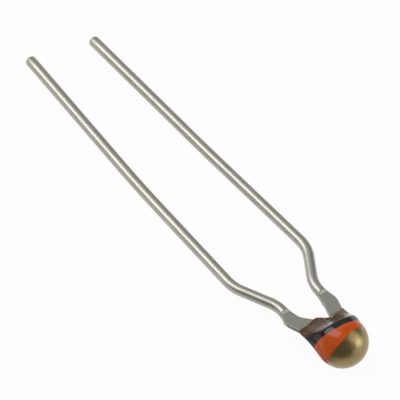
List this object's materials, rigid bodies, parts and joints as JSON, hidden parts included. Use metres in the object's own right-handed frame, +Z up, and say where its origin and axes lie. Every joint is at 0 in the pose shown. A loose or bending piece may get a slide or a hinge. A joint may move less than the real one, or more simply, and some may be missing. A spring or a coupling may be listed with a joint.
{
  "type": "ntc thermistor",
  "caption": "Bead thermistor: a lacquered bead with painted colour bands on two bare tinned wires, pressed flat at the bead and cranked out to a wider pitch.",
  "frame": {"origin": "on the surface that the part lies on, under the middle of its outline", "axes": "+X along the wires from their tips towards the nose of the bead, +Y across the wires towards the right one as seen from the nose, +Z up from the surface"},
  "size_m": [0.028, 0.0057, 0.0029],
  "materials": {
    "tinned_wire": "tinned wire, dull bright, with fine lengthwise streaks",
    "ceramic": "sintered metal oxide ceramic, dark and matte",
    "silver_film": "fired silver, matte",
    "solder": "dull grey solder",
    "clear_lacquer": "brownish base lacquer",
    "brown_paint": "glossy brown lacquer, slightly see-through",
    "black_paint": "glossy black lacquer",
    "orange_paint": "glossy orange lacquer",
    "gold_paint": "metallic gold lacquer"
  },
  "bodies": {
    "root": {"lead_left": "tinned_wire", "lead_right": "tinned_wire", "ceramic_chip": "ceramic", "electrode_top": "silver_film", "electrode_bottom": "silver_film", "solder_top": "solder", "solder_bottom": "solder", "lacquer_coat": "clear_lacquer", "brown_band": "brown_paint", "black_band": "black_paint", "orange_band": "orange_paint", "gold_cap": "gold_paint"}
  },
  "joints": []
}
